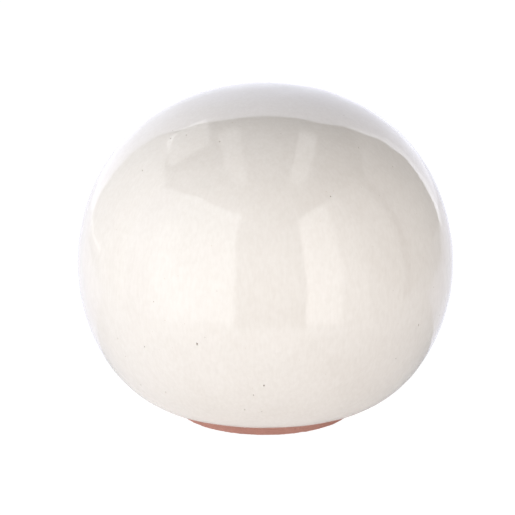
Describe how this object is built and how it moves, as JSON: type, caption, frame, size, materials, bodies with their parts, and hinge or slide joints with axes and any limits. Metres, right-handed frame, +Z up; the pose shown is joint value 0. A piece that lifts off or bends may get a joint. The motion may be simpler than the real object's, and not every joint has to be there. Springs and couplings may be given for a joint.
{
  "type": "ceramic ball",
  "caption": "Closed, slightly flattened ball in glossy cream glaze over a hollow clay body, standing on a small unglazed clay foot ring.",
  "frame": {"origin": "centre of the foot's underside, on the surface that the ball stands on", "axes": "+Z up along the ball's axis of revolution; X and Y are any two level directions"},
  "size_m": [0.15, 0.15, 0.1326],
  "materials": {
    "cream_glaze": "gloss",
    "foot_clay": "matte",
    "body_clay": "matte"
  },
  "bodies": {
    "root": {"glaze_coat": "cream_glaze", "foot_ring": "foot_clay", "foot_coil": "foot_clay", "upper_shell": "body_clay", "lower_shell": "body_clay", "seam_coil": "body_clay"}
  },
  "joints": []
}
